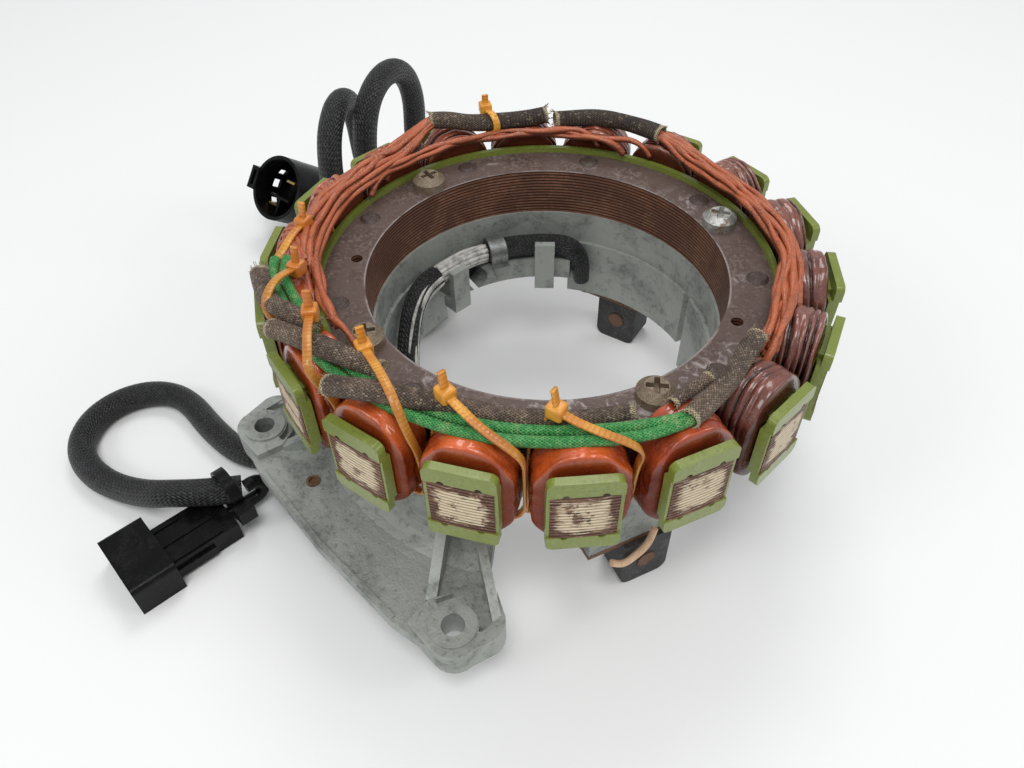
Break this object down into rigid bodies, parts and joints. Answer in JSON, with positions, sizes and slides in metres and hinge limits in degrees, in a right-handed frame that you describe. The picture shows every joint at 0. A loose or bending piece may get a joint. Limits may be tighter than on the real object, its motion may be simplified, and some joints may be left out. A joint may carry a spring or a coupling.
{
  "type": "wound stator",
  "caption": "Generator stator with wound poles round a bore, on a die-cast plate with ignition pickups and two wiring harnesses that end in connectors.",
  "frame": {"origin": "centre of the stack's bore, on the machined seat under the stack", "axes": "+Z along the bore axis towards the upper face of the stack, +X along the line of the two mounting holes, -Y towards the flange"},
  "size_m": [0.264, 0.2234, 0.0939],
  "materials": {
    "die_cast": "cast, dull",
    "lamination": "varnished, weathered",
    "rivet": "varnished",
    "screw_steel": "zinc, tarnished",
    "insulator": "varnished",
    "copper_wire": "enamelled, varnished",
    "lead_varnish": "varnished",
    "sleeve": "braided, impregnated",
    "green_pvc": "gloss",
    "tie_nylon": "amber, varnished",
    "black_braid": "braided",
    "strand": "matt",
    "strip_steel": "satin",
    "pickup_plastic": "matt",
    "rusted_steel": "rusted",
    "cream_wire": "matt",
    "bronze": "dull",
    "rubber": "matt",
    "black_nylon": "gloss",
    "terminal": "bright"
  },
  "bodies": {
    "root": {"stator_plate": "die_cast", "stator_core": "lamination", "core_rivets": "rivet", "core_screws": "screw_steel", "upper_insulator": "insulator", "lower_insulator": "insulator", "slot_liners": "insulator", "phase_u_coils": "copper_wire", "phase_v_coils": "copper_wire", "phase_w_coils": "copper_wire", "left_lead_bundle": "lead_varnish", "right_lead_bundle": "lead_varnish", "back_sleeve_long": "sleeve", "back_sleeve_short": "sleeve", "left_sleeve_outer": "sleeve", "left_sleeve_inner": "sleeve", "front_sleeve": "sleeve", "right_sleeve_large": "sleeve", "right_sleeve_small": "sleeve", "green_lead_outer": "green_pvc", "green_lead_inner": "green_pvc", "cable_ties": "tie_nylon", "back_tie": "tie_nylon", "inner_harness": "black_braid", "inner_harness_tail": "black_braid", "exposed_strands": "strand", "harness_clamp": "strip_steel", "pickup_housings": "pickup_plastic", "pickup_cores": "rusted_steel", "pickup_brackets": "rusted_steel", "pickup_screws": "rusted_steel", "pickup_wire": "cream_wire", "flange_plug": "bronze", "signal_grommet": "rubber", "signal_cord": "black_braid", "signal_tie": "black_nylon", "signal_leads": "black_nylon", "signal_connector": "black_nylon", "signal_terminals": "terminal", "power_grommet": "rubber", "power_cord": "black_braid", "power_connector": "black_nylon", "power_divider": "black_nylon", "power_terminals": "terminal"}
  },
  "joints": []
}
